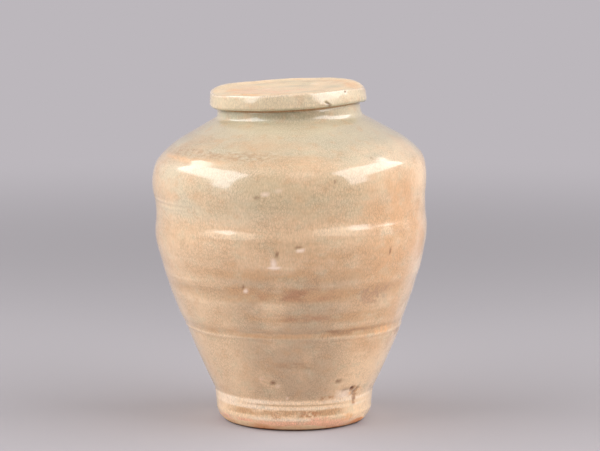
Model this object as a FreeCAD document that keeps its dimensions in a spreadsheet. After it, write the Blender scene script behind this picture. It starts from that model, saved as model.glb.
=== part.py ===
import FreeCAD, Part

import math
import os
import re

import Sketcher

# A small wheel-thrown celadon jar with its loose disc lid, in millimetres.
# The jar stands on its flat foot at height 0, +Z is up and -Y is the front.
# It was thrown as two halves. The lower one stands upright, the upper one leans a little at the
# seam between them, and the neck with its mouth leans further, so the lid lies out of level.

# The driving sizes. Heights named rise are stacked on each other from the foot upwards.
SIZES = {
    # Foot: a flat bare base with a bevelled edge under a short upright wall.
    "foot_base_diameter": 52.0,
    "foot_bevel_height": 3.2,
    "foot_side_diameter": 59.2,
    "foot_height": 12.2,
    "foot_top_diameter": 60.9,
    # Lower half: the tapering wall up to the seam.
    "lower_wall_rise": 23.8,
    "lower_wall_curve": 200.0,
    "seam_diameter": 82.6,
    # Upper half: the wall above the seam, two bulges with a waist between them, and the shoulder.
    "seam_ledge": 0.6,
    "seam_lap": 3.0,
    "seam_lap_taper": 1.5,
    "belly_diameter": 103.5,
    "belly_rise": 33.0,
    "belly_curve": 160.0,
    "belly_start_fall": 0.25,
    "lower_bulge_rise": 9.5,
    "lower_bulge_curve": 25.0,
    "waist_start_fall": 0.1,
    "waist_rise": 9.0,
    "waist_curve": 50.0,
    "upper_bulge_rise": 11.0,
    "upper_bulge_curve": 25.0,
    "upper_bulge_swell": 0.1,
    "shoulder_rise": 8.0,
    "shoulder_inset": 6.35,
    "shoulder_curve": 13.0,
    "slope_rise": 13.0,
    # Neck and mouth: a short concave neck with a flat bare seat round the bore.
    "mouth_rise": 16.0,
    "neck_diameter": 54.2,
    "neck_wall": 5.6,
    "neck_lap": 3.1,
    "neck_root_rise": 8.7,
    "neck_root_depth": 1.8,
    "neck_flare_rise": 5.6,
    "neck_flare_width": 3.4,
    "neck_flare_curve": 14.0,
    "mouth_edge": 0.8,
    "mouth_bore_depth": 11.0,
    # Hollow: the dished floor and the wall between outside and inside.
    "floor_thickness": 7.0,
    "floor_rise": 5.0,
    "wall": 5.0,
    "hollow_curve": 175.0,
    "hollow_shoulder_curve": 20.0,
    "hollow_neck_lap": 1.5,
    # Lid: a thick disc with a sharp upper ridge, a sunk centre and a locating ring below.
    "lid_overhang": 2.9,
    "lid_height": 5.5,
    "lid_foot_round": 1.9,
    "lid_foot_curve": 4.0,
    "lid_ridge_inset": 0.6,
    "lid_ridge_width": 0.4,
    "lid_band_curve": 16.0,
    "lid_groove_width": 6.5,
    "lid_groove_curve": 12.0,
    "lid_flat_width": 6.0,
    "lid_flat_fall": 0.2,
    "lid_sunk_slope": 1.2,
    "lid_sunk_depth": 0.9,
    "lid_ring_depth": 5.0,
    "lid_ring_wall": 3.9,
    "lid_ring_taper": 0.4,
    "lid_clearance": 0.9,
    # How far a cutting outline runs past the clay that it trims.
    "cut_overrun": 2.0,
}

# How far each part is out of plumb, in degrees: to the left, or towards the front.
LEANS = {
    "upper_lean": 1.4,
    "mouth_side_lean": 3.0,
    "mouth_front_lean": 1.6,
}

# Heights above the seam and radii that several outlines share, as expressions on the sheet.
SEAM = "(foot_height + lower_wall_rise)"
WAIST_START = "(belly_rise + lower_bulge_rise)"
UPPER_BULGE_START = f"({WAIST_START} + waist_rise)"
SHOULDER_START = f"({UPPER_BULGE_START} + upper_bulge_rise)"
SHOULDER_EDGE = f"({SHOULDER_START} + shoulder_rise)"
SLOPE_TOP = f"({SHOULDER_EDGE} + slope_rise)"
MOUTH = f"({SHOULDER_EDGE} + mouth_rise)"
SEAM_INSIDE = "(seam_diameter / 2 - seam_ledge)"
BELLY = "(belly_diameter / 2)"
NECK = "(neck_diameter / 2)"
BORE = f"({NECK} - neck_wall)"
LID_EDGE = f"({NECK} + lid_overhang)"
LID_RIDGE = f"({LID_EDGE} - lid_ridge_inset)"
LID_RING = f"({BORE} - lid_clearance)"

# The dish of the floor is part of a ball, so that it is level in the middle.
FLOOR_EDGE = "(foot_top_diameter / 2 - wall)"
FLOOR_CURVE = f"(({FLOOR_EDGE} * {FLOOR_EDGE} + floor_rise * floor_rise) / (2 * floor_rise))"

# The centre of the mouth's seat, across from the foot's axis and up from the seam.
MOUTH_ACROSS = f"-{MOUTH} * sin(upper_lean)"
MOUTH_HEIGHT = f"{SEAM} + {MOUTH} * cos(upper_lean)"


def bind(expression):
    """Write each size in an expression as a cell of the sheet."""
    names = {**SIZES, **LEANS}
    return re.sub(r"[a-z_]+", lambda word: f"sizes.{word[0]}" if word[0] in names else word[0], expression)


def make_sheet(document):
    """Put every driving size in the sheet under its own name."""
    sheet = document.addObject("Spreadsheet::Sheet", "sizes")
    for row, (name, value) in enumerate({**SIZES, **LEANS}.items(), start=1):
        sheet.set(f"A{row}", name)
        sheet.set(f"B{row}", str(value))
        sheet.setAlias(f"B{row}", name)
    document.recompute()


def origin_plane(body, role):
    """Find one of a body's own origin planes."""
    return next(feature for feature in body.Origin.OriginFeatures if feature.Role == role)


def arc_between(start, end, radius, side):
    """Draw an arc of a radius from start to end, bulging outward (side 1) or inward (side -1)."""
    middle = (start + end) / 2
    chord = end - start
    to_centre = math.sqrt(radius ** 2 - (chord.Length / 2) ** 2)
    centre = middle + FreeCAD.Vector(-chord.y, chord.x, 0).normalize() * to_centre * side
    first, last = (start, end) if side > 0 else (end, start)
    first_angle = math.atan2(first.y - centre.y, first.x - centre.x)
    last_angle = math.atan2(last.y - centre.y, last.x - centre.x)
    if last_angle < first_angle:
        last_angle += 2 * math.pi
    circle = Part.Circle(centre, FreeCAD.Vector(0, 0, 1), radius)
    return Part.ArcOfCircle(circle, first_angle, last_angle)


def fix_coordinate(sketch, kind, axis, geometry, vertex, expression, value):
    """Tie one coordinate of a corner to the sheet, or to the axis where it is zero."""
    if expression == "0":
        sketch.addConstraint(Sketcher.Constraint("PointOnObject", geometry, vertex, axis))
    elif value > 0:
        number = sketch.addConstraint(Sketcher.Constraint(kind, -1, 1, geometry, vertex, value))
        sketch.setExpression(f"Constraints[{number}]", bind(expression))
    else:
        number = sketch.addConstraint(Sketcher.Constraint(kind, geometry, vertex, -1, 1, -value))
        sketch.setExpression(f"Constraints[{number}]", bind(f"-({expression})"))


def draw_outline(body, name, corners, curves=None):
    """Draw a closed half outline in the upright plane: each corner is a place across and up.

    The corners go round with the clay on their left. The curves give, for the corner that an arc
    starts from, its radius and whether it bulges out (1) or in (-1).
    """
    curves = curves or {}
    sketch = body.newObject("Sketcher::SketchObject", name)
    sketch.AttachmentSupport = (origin_plane(body, "XZ_Plane"), [""])
    sketch.MapMode = "FlatFace"

    def value(expression):
        return float(sketch.evalExpression(bind(expression)))

    places = [FreeCAD.Vector(value(across), value(up), 0) for across, up in corners]
    edges = []
    for index, start in enumerate(places):
        end = places[(index + 1) % len(places)]
        radius, side = curves.get(index, (None, 1))
        shape = arc_between(start, end, value(radius), side) if radius else Part.LineSegment(start, end)
        vertices = (1, 2) if side > 0 else (2, 1)
        edges.append((sketch.addGeometry(shape, False), vertices))
    for index, (edge, (start_vertex, end_vertex)) in enumerate(edges):
        next_edge, (next_vertex, _) = edges[(index + 1) % len(edges)]
        sketch.addConstraint(Sketcher.Constraint("Coincident", edge, end_vertex, next_edge, next_vertex))
        across, up = corners[index]
        fix_coordinate(sketch, "DistanceX", -2, edge, start_vertex, across, places[index].x)
        fix_coordinate(sketch, "DistanceY", -1, edge, start_vertex, up, places[index].y)
        if index in curves:
            radius, _ = curves[index]
            number = sketch.addConstraint(Sketcher.Constraint("Radius", edge, value(radius)))
            sketch.setExpression(f"Constraints[{number}]", bind(radius))
    return sketch


def turn(body, kind, name, sketch):
    """Turn an outline once round its own upright axis, as clay or as a cut."""
    feature = body.newObject(f"PartDesign::{kind}", name)
    feature.Profile = sketch
    feature.ReferenceAxis = (sketch, ["V_Axis"])
    feature.Angle = 360
    sketch.Visibility = False


def lean_upper_half(sketch):
    """Set an outline on the axis of the upper half, which leans to the left from the seam."""
    sketch.setExpression("AttachmentOffset", bind(f"placement(vector(0; {SEAM}; 0); rotationz(upper_lean))"))


def lean_mouth(sketch):
    """Set an outline on the axis of the mouth, its zero height at the centre of the seat."""
    sketch.setExpression("AttachmentOffset", bind(
        f"placement(vector({MOUTH_ACROSS}; {MOUTH_HEIGHT}; 0); "
        "rotationz(mouth_side_lean) * rotationx(mouth_front_lean))"))


def throw_lower_half(body):
    """Make the flat foot and the tapering wall above it, solid up to the seam."""
    outline = draw_outline(body, "lower_outline", [
        ("0", "0"),
        ("foot_base_diameter / 2", "0"),
        ("foot_side_diameter / 2", "foot_bevel_height"),
        ("foot_top_diameter / 2", "foot_height"),
        ("seam_diameter / 2", SEAM),
        ("0", SEAM),
    ], {3: ("lower_wall_curve", 1)})
    turn(body, "Revolution", "lower_half", outline)


def throw_upper_half(body):
    """Make the leaning upper half, solid, its foot let into the lower half and its top in the neck."""
    outline = draw_outline(body, "upper_outline", [
        ("0", "-seam_lap"),
        (f"{SEAM_INSIDE} - seam_lap_taper", "-seam_lap"),
        (SEAM_INSIDE, "0"),
        (f"{BELLY} - belly_start_fall", "belly_rise"),
        (f"{BELLY} - waist_start_fall", WAIST_START),
        (f"{BELLY} + upper_bulge_swell", UPPER_BULGE_START),
        (BELLY, SHOULDER_START),
        (f"{BELLY} - shoulder_inset", SHOULDER_EDGE),
        (f"{NECK} - neck_lap", SLOPE_TOP),
        ("0", SLOPE_TOP),
    ], {
        2: ("belly_curve", 1),
        3: ("lower_bulge_curve", 1),
        4: ("waist_curve", -1),
        5: ("upper_bulge_curve", 1),
        6: ("shoulder_curve", 1),
    })
    lean_upper_half(outline)
    turn(body, "Revolution", "upper_half", outline)


def throw_neck(body):
    """Make the neck, solid, from its root in the shoulder to past the height of the seat."""
    outline = draw_outline(body, "neck_outline", [
        ("0", "-(mouth_rise - neck_root_rise + neck_root_depth)"),
        (f"{NECK} + neck_flare_width", "-(mouth_rise - neck_root_rise + neck_root_depth)"),
        (f"{NECK} + neck_flare_width", "-(mouth_rise - neck_root_rise)"),
        (NECK, "-(mouth_rise - neck_root_rise - neck_flare_rise)"),
        (NECK, "cut_overrun / 2"),
        ("0", "cut_overrun / 2"),
    ], {2: ("neck_flare_curve", -1)})
    lean_mouth(outline)
    turn(body, "Revolution", "neck", outline)


def hollow_out(body):
    """Cut the hollow, which follows the outside at the wall's thickness, on the upper half's axis."""
    outline = draw_outline(body, "hollow_outline", [
        ("0", f"floor_thickness - {SEAM}"),
        (FLOOR_EDGE, f"floor_thickness + floor_rise - {SEAM}"),
        (f"{SEAM_INSIDE} - wall", "0"),
        (f"{BELLY} - wall", WAIST_START),
        (f"{BELLY} - wall", SHOULDER_START),
        (f"{BELLY} - shoulder_inset - wall / 2", f"{SHOULDER_EDGE} - wall"),
        (f"{BORE} - hollow_neck_lap", f"{SLOPE_TOP} - wall"),
        ("0", f"{SLOPE_TOP} - wall"),
    ], {
        0: (FLOOR_CURVE, 1),
        2: ("hollow_curve", 1),
        4: ("hollow_shoulder_curve", 1),
    })
    lean_upper_half(outline)
    turn(body, "Groove", "hollow", outline)


def trim_mouth(body):
    """Cut the mouth flat for the lid's bearing face, break its two edges and bore it to the hollow."""
    outline = draw_outline(body, "mouth_outline", [
        ("0", "-mouth_bore_depth"),
        (BORE, "-mouth_bore_depth"),
        (BORE, "-mouth_edge"),
        (f"{BORE} + mouth_edge", "0"),
        (f"{NECK} - mouth_edge", "0"),
        (f"{NECK} + cut_overrun", "-(mouth_edge + cut_overrun)"),
        (f"{NECK} + cut_overrun", "cut_overrun"),
        ("0", "cut_overrun"),
    ])
    lean_mouth(outline)
    turn(body, "Groove", "mouth", outline)


def make_jar(document):
    """Make the jar: two thrown halves and the neck, then the hollow and the mouth."""
    body = document.addObject("PartDesign::Body", "jar")
    body.Label = "jar"
    throw_lower_half(body)
    throw_upper_half(body)
    throw_neck(body)
    hollow_out(body)
    trim_mouth(body)
    return body


def make_lid(document):
    """Make the lid on its own axis, its bearing face at height 0, and seat it on the mouth."""
    body = document.addObject("PartDesign::Body", "lid")
    body.Label = "lid"
    groove_inside = f"({LID_RIDGE} - lid_ridge_width - lid_groove_width)"
    sunk_edge = f"({groove_inside} - lid_flat_width)"
    outline = draw_outline(body, "lid_outline", [
        ("0", "0"),
        (f"{LID_RING} - lid_ring_wall", "0"),
        (f"{LID_RING} - lid_ring_wall", "-lid_ring_depth"),
        (f"{LID_RING} - lid_ring_taper", "-lid_ring_depth"),
        (LID_RING, "0"),
        (f"{LID_EDGE} - lid_foot_round", "0"),
        (LID_EDGE, "lid_foot_round"),
        (LID_RIDGE, "lid_height"),
        (f"{LID_RIDGE} - lid_ridge_width", "lid_height"),
        (groove_inside, "lid_height - lid_flat_fall"),
        (sunk_edge, "lid_height - lid_flat_fall"),
        (f"{sunk_edge} - lid_sunk_slope", "lid_height - lid_sunk_depth"),
        ("0", "lid_height - lid_sunk_depth"),
    ], {
        5: ("lid_foot_curve", 1),
        6: ("lid_band_curve", 1),
        8: ("lid_groove_curve", -1),
    })
    turn(body, "Revolution", "disc", outline)
    body.setExpression("Placement", bind(
        f"placement(vector({MOUTH_ACROSS}; 0; {MOUTH_HEIGHT}); "
        "rotationy(-mouth_side_lean) * rotationx(mouth_front_lean))"))
    return body


def check(document, parts):
    """Stop unless every object is sound and every part is one valid solid."""
    for item in document.Objects:
        if "Invalid" in item.State or "Error" in item.State:
            raise RuntimeError(f"{item.Name} failed: {item.State}")
    for part in parts:
        shape = part.Shape
        if shape.isNull() or not shape.isValid() or len(shape.Solids) != 1:
            raise RuntimeError(f"{part.Label} is not one valid solid")


def main():
    """Build the jar and its lid, check them and write one file for each."""
    document = FreeCAD.newDocument("celadon_jar")
    make_sheet(document)
    parts = [make_jar(document), make_lid(document)]
    document.recompute()
    check(document, parts)
    os.makedirs("parts", exist_ok=True)
    for part in parts:
        part.Shape.exportStep(f"parts/{part.Label}.step")
        box = part.Shape.optimalBoundingBox(False)
        print(f"{part.Label}: {part.Shape.Volume:.0f} mm3, x {box.XMin:.2f} to {box.XMax:.2f}, "
              f"y {box.YMin:.2f} to {box.YMax:.2f}, z {box.ZMin:.2f} to {box.ZMax:.2f}")


main()
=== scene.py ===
import logging
import math
from collections.abc import Sequence
from dataclasses import dataclass
from enum import Enum

import bpy
import numpy as np
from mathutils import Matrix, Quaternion, Vector


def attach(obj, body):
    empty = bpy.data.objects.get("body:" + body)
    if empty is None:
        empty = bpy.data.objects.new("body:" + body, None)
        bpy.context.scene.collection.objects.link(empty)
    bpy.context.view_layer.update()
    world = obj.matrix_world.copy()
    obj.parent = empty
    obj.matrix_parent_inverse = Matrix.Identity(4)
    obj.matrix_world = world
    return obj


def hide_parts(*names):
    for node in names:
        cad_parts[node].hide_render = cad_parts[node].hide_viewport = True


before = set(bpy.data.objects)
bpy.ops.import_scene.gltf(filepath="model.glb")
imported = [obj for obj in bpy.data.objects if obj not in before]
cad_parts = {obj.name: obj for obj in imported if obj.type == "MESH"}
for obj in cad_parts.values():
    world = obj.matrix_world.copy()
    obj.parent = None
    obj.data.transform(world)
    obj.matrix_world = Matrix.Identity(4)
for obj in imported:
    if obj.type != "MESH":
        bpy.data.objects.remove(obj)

# A small wheel-thrown celadon jar with its loose disc lid. Sizes are in millimetres and angles in
# degrees. An angle on the pot is counted from the front, -Y, and grows towards the right, +X.

MM = 0.001
LOG = logging.getLogger("celadon_jar")

Colour = tuple[float, float, float]
Point = tuple[float, float, float]
Place = tuple[float, float]
Span = tuple[float, float]


def shown(red: int, green: int, blue: int) -> Colour:
    """Turn a colour as a screen shows it, 0 to 255, into the linear one that a shader takes.

    Args:
        red: The red part, 0 to 255.
        green: The green part, 0 to 255.
        blue: The blue part, 0 to 255.

    Returns:
        The linear colour.
    """
    linear = []
    for part in (red, green, blue):
        share = part / 255
        linear.append(share / 12.92 if share <= 0.04045 else ((share + 0.055) / 1.055) ** 2.4)
    return tuple(linear)


def eased(share: np.ndarray) -> np.ndarray:
    """Ease a share in and out between 0 and 1, with level ends."""
    held = np.clip(share, 0.0, 1.0)
    return held * held * (3.0 - 2.0 * held)


class Bulge(Enum):
    """Which way an arc of the outline bends, seen from the clay."""

    OUT = 1
    IN = -1


@dataclass
class Outline:
    """The half outline of a pot, followed from one place to the next with the clay on its left.

    Attributes:
        places: The points passed so far, each across from the axis and up, finely spaced.
        step: How far apart the points are, in millimetres.
        bend_reach: How far from a bend the rows still lie closer.
        fine_reach: How far from a fine line they do.
        fine_attention: How much closer they lie at a fine line.
    """

    places: list[np.ndarray]
    step: float = 0.05
    bend_reach: float = 1.0
    fine_reach: float = 1.3
    fine_attention: float = 1.6

    @classmethod
    def starting(cls, across: float, up: float) -> "Outline":
        """Start an outline at a place."""
        return cls([np.array([across, up], float)])

    def line(self, across: float, up: float) -> "Outline":
        """Go straight on to a place."""
        start, end = self.places[-1], np.array([across, up], float)
        steps = max(2, math.ceil(np.linalg.norm(end - start) / self.step))
        self.places.extend(start + (end - start) * share for share in np.arange(1, steps + 1) / steps)
        return self

    def arc(self, across: float, up: float, radius: float, bulge: Bulge = Bulge.OUT) -> "Outline":
        """Go on to a place along an arc of a radius.

        Args:
            across: How far the place is from the axis.
            up: How high the place is.
            radius: The radius of the arc.
            bulge: Which way the arc bends.

        Returns:
            This outline, with the arc added.
        """
        start, end = self.places[-1], np.array([across, up], float)
        chord = end - start
        half = np.linalg.norm(chord) / 2
        to_centre = math.sqrt(radius ** 2 - half ** 2) * bulge.value
        centre = (start + end) / 2 + np.array([-chord[1], chord[0]]) / (2 * half) * to_centre
        first = math.atan2(*(start - centre)[::-1])
        sweep = 2 * math.asin(half / radius) * bulge.value
        steps = max(2, math.ceil(abs(sweep) * radius / self.step))
        for share in np.arange(1, steps + 1) / steps:
            angle = first + sweep * share
            self.places.append(centre + radius * np.array([math.cos(angle), math.sin(angle)]))
        return self

    def rows(self, count: int, softness: float, attention: float,
             fine: Sequence[float] = ()) -> tuple[np.ndarray, np.ndarray]:
        """Soften the corners and pick rows of points, closer together where the outline bends.

        Args:
            count: How many rows to pick.
            softness: How far the corners of fired clay are rounded, in millimetres.
            attention: How much closer the rows lie in a bend.
            fine: Heights with fine lines, near which the rows lie closer too.

        Returns:
            The rows' places and the outward direction at each of them.
        """
        line = np.array(self.places)
        reach = int(4 * softness / self.step)
        kernel = np.exp(-0.5 * (np.arange(-reach, reach + 1) * self.step / softness) ** 2)
        kernel /= kernel.sum()
        before, after = 2 * line[0] - line[reach:0:-1], 2 * line[-1] - line[-2:-reach - 2:-1]
        padded = np.concatenate([before, line, after])
        soft = np.stack([np.convolve(padded[:, axis], kernel, "valid") for axis in (0, 1)], axis=1)
        soft[0], soft[-1] = line[0], line[-1]
        along = np.gradient(soft, axis=0)
        length = np.linalg.norm(along, axis=1)
        along /= length[:, None]
        bend = np.linalg.norm(np.gradient(along, axis=0), axis=1) / length
        spread = np.ones(int(self.bend_reach / self.step)) * self.step
        care = attention * np.convolve(bend, spread, "same")
        for height in fine:
            care += self.fine_attention * np.exp(-((soft[:, 1] - height) / self.fine_reach) ** 2)
        cost = np.cumsum(length * (1.0 + care))
        picks = np.interp(np.linspace(cost[0], cost[-1], count), cost, np.arange(len(soft)))
        index = np.arange(len(soft))
        places = np.stack([np.interp(picks, index, soft[:, axis]) for axis in (0, 1)], axis=1)
        ahead = np.stack([np.interp(picks, index, along[:, axis]) for axis in (0, 1)], axis=1)
        outward = np.stack([ahead[:, 1], -ahead[:, 0]], axis=1)
        return places, outward / np.linalg.norm(outward, axis=1)[:, None]


@dataclass(frozen=True)
class Swell:
    """An unevenness of the clay, made of waves that run in seeded directions.

    Attributes:
        seed: Which of the possible patterns it is.
        spacing: How far apart its swells lie, in millimetres.
        rise: How far they rise and fall, in millimetres.
        stretch: How many times longer they are round the pot than up it.
        waves: How many waves are added together.
        lengths: The shortest and the longest of them, as shares of the spacing.
    """

    seed: int
    spacing: float
    rise: float
    stretch: float = 1.0
    waves: int = 28
    lengths: Span = (0.75, 1.5)

    def at(self, places: np.ndarray) -> np.ndarray:
        """Give the unevenness at places in millimetres, in the shape that they have."""
        draw = np.random.default_rng(self.seed)
        directions = draw.normal(size=(self.waves, 3))
        directions /= np.linalg.norm(directions, axis=1)[:, None]
        turns = 2 * math.pi / (self.spacing * draw.uniform(*self.lengths, self.waves))
        phases = draw.uniform(0.0, 2 * math.pi, self.waves)
        squeezed = places / np.array([self.stretch, self.stretch, 1.0])
        swells = np.cos(squeezed @ (directions * turns[:, None]).T + phases).sum(axis=-1)
        return self.rise * math.sqrt(2 / self.waves) * swells


@dataclass(frozen=True)
class ThrowingLine:
    """A ridge or groove that a finger or rib left round the turning clay.

    Attributes:
        height: How high it lies at the front.
        width: Half its width.
        rise: How far it stands out, or in where it is less than zero.
        start: The angle at which it begins.
        end: The angle at which it ends.
        fade: Over how many degrees it fades in and out.
        climb: How far it climbs from the front to the right side.
    """

    height: float
    width: float
    rise: float
    start: float = -180.0
    end: float = 180.0
    fade: float = 18.0
    climb: float = 0.0

    def at(self, angle: np.ndarray, height: np.ndarray) -> np.ndarray:
        """Give how far the line stands out at angles and heights."""
        middle = self.height + self.climb * np.sin(np.radians(angle))
        ridge = self.rise * np.exp(-((height - middle) / self.width) ** 2)
        if self.end - self.start >= 360:
            return ridge
        return ridge * eased((angle - self.start) / self.fade) * eased((self.end - angle) / self.fade)


@dataclass(frozen=True)
class Sway:
    """A stretch where the wall was pushed a little to one side.

    Attributes:
        height: The height of its middle.
        reach: How far it reaches up and down.
        shift: How far it is pushed to the right.
    """

    height: float
    reach: float
    shift: float

    def at(self, height: np.ndarray) -> np.ndarray:
        """Give the shift at heights."""
        return self.shift * np.exp(-((height - self.height) / self.reach) ** 2)


@dataclass(frozen=True)
class RimWarp:
    """A stretch of the lid's rim that warped up or down in the fire.

    Attributes:
        angle: The angle of its middle.
        spread: How many degrees it reaches each way.
        ridge: How far the upper ridge rises there, or falls where it is less than zero.
        foot: How far the lower edge rises.
        pinch: How far the upper ridge is drawn in.
    """

    angle: float
    spread: float
    ridge: float
    foot: float
    pinch: float = 0.0

    def at(self, angle: np.ndarray, share: np.ndarray) -> tuple[np.ndarray, np.ndarray]:
        """Give the rise and the drawing in, for a share of the way from the lower edge to the ridge."""
        apart = (angle - self.angle + 180.0) % 360.0 - 180.0
        weight = np.exp(-(apart / self.spread) ** 2)
        return weight * (self.foot + (self.ridge - self.foot) * share), weight * self.pinch * share


@dataclass(frozen=True)
class Flaw:
    """A pit, chip or lump in the surface.

    Attributes:
        angle: The angle of its middle.
        height: The height of its middle.
        across: Half its width round the pot.
        up: Half its height.
        depth: How deep it is, or how far it stands out where it is less than zero.
        lip: How far the clay round it is pushed up.
        tip: How many degrees it is turned, its right end up.
        bare: How far the glaze is broken away in it, 0 to 1.
        edge: How sudden its edge is. 1 is a soft dent and 3 a sharp chip.
        stain: How dark the dirt in it is, 0 to 1, or how pale the scar where it is less than zero.
        lip_at: Where the top of the lip lies, 1 being at the flaw's edge.
        lip_width: Half the width of the lip, in the same measure.
    """

    angle: float
    height: float
    across: float
    up: float
    depth: float
    lip: float = 0.0
    tip: float = 0.0
    bare: float = 0.0
    edge: float = 1.5
    stain: float = 0.0
    lip_at: float = 1.35
    lip_width: float = 0.3

    def reach(self, angle: np.ndarray, height: np.ndarray, radius: np.ndarray) -> np.ndarray:
        """Give how far places are from the flaw's middle, 1 being at its edge."""
        round_pot = np.radians((angle - self.angle + 180.0) % 360.0 - 180.0) * radius
        above = height - self.height
        turn = math.radians(self.tip)
        along = (round_pot * math.cos(turn) + above * math.sin(turn)) / self.across
        over = (above * math.cos(turn) - round_pot * math.sin(turn)) / self.up
        return np.hypot(along, over)

    def at(self, angle: np.ndarray, height: np.ndarray,
           radius: np.ndarray) -> tuple[np.ndarray, np.ndarray, np.ndarray]:
        """Give how far the surface stands out there, how bare it is and how stained."""
        reach = self.reach(angle, height, radius)
        inside = np.exp(-reach ** (2 * self.edge))
        lip = np.exp(-((reach - self.lip_at) / self.lip_width) ** 2)
        return self.lip * lip - self.depth * inside, self.bare * inside, self.stain * inside


def marred(flaws: Sequence[Flaw], angle: np.ndarray, height: np.ndarray,
           radius: np.ndarray) -> tuple[np.ndarray, np.ndarray, np.ndarray]:
    """Put all the flaws of a surface together.

    Args:
        flaws: The flaws.
        angle: The angle of each place.
        height: Its height.
        radius: How far it is from the axis.

    Returns:
        How far each place stands out, how bare it is and how stained.
    """
    marks = [flaw.at(angle, height, radius) for flaw in flaws]
    bare = np.max([mark[1] for mark in marks], axis=0)
    return sum(mark[0] for mark in marks), bare, np.clip(sum(mark[2] for mark in marks), -1.0, 1.0)


@dataclass(frozen=True)
class Stance:
    """Where a stretch of the pot stands: a centre on its axis and how the axis leans there.

    Attributes:
        centre: A place on the axis, in the frame.
        up: How far along the upright outline that centre is.
        lean: The turn from upright to the leaning axis.
    """

    centre: np.ndarray
    up: float
    lean: np.ndarray

    @classmethod
    def along(cls, centre: Sequence[float], up: float, axis: Sequence[float]) -> "Stance":
        """Make a stance from a centre and the direction of the axis there."""
        lean = Vector((0, 0, 1)).rotation_difference(Vector(axis)).to_matrix()
        return cls(np.array(centre, float), up, np.array(lean))

    def place(self, upright: np.ndarray) -> np.ndarray:
        """Move places of the upright pot to where they are on the leaning one."""
        return self.centre + (upright - np.array([0.0, 0.0, self.up])) @ self.lean.T

    def turn(self, directions: np.ndarray) -> np.ndarray:
        """Turn directions of the upright pot with the axis."""
        return directions @ self.lean.T


@dataclass
class Lathe:
    """Turns rows of an outline into the surface of a pot.

    Attributes:
        places: The rows' places, across and up.
        outward: The outward direction at each row.
        sides: How many sides the pot has.
        front_share: How much closer together the sides are at the front than behind.
    """

    places: np.ndarray
    outward: np.ndarray
    sides: int
    front_share: float = 0.32

    def angles(self) -> np.ndarray:
        """Give the angle of each side, closer together at the front."""
        even = np.linspace(-math.pi, math.pi, self.sides, endpoint=False)
        return np.degrees(even - self.front_share * np.sin(even))

    def spin(self, pairs: np.ndarray) -> np.ndarray:
        """Spin places or directions of the half outline round the upright axis."""
        turn = np.radians(self.angles())
        across = pairs[:, :1]
        up = np.repeat(pairs[:, 1:], self.sides, axis=1)
        return np.stack([across * np.sin(turn), -across * np.cos(turn), up], axis=-1)

    def mesh(self, name: str, surface: np.ndarray, looks: dict[str, np.ndarray]) -> bpy.types.Object:
        """Make the closed mesh of the pot.

        Args:
            name: The name of the piece.
            surface: The places of the surface in millimetres, by row and side. The first and last
                row lie on the axis.
            looks: What the finish has to know of each place, by name.

        Returns:
            The piece.
        """
        inner = surface[1:-1].reshape(-1, 3)
        points = np.concatenate([surface[:1, 0], inner, surface[-1:, 0]]) * MM
        rows, last = len(surface) - 2, len(points) - 1
        ring = 1 + np.arange(self.sides)
        ring_next = 1 + (np.arange(self.sides) + 1) % self.sides
        row_starts = np.arange(rows - 1)[:, None] * self.sides
        low, low_next = row_starts + ring, row_starts + ring_next
        quads = np.stack([low, low_next, low_next + self.sides, low + self.sides], axis=-1)
        top = (rows - 1) * self.sides
        faces = quads.reshape(-1, 4).tolist()
        faces += [[0, int(b), int(a)] for a, b in zip(ring, ring_next)]
        faces += [[last, int(a + top), int(b + top)] for a, b in zip(ring, ring_next)]
        mesh = bpy.data.meshes.new(name)
        mesh.from_pydata(points.tolist(), [], faces)
        mesh.polygons.foreach_set("use_smooth", np.ones(len(mesh.polygons), bool))
        for look, values in looks.items():
            flat = np.concatenate([values[:1, 0], values[1:-1].reshape(-1), values[-1:, 0]])
            known = mesh.attributes.new(look, "FLOAT", "POINT")
            known.data.foreach_set("value", flat.astype(np.float32))
        mesh.update()
        piece = bpy.data.objects.new(name, mesh)
        bpy.context.scene.collection.objects.link(piece)
        return piece


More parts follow.
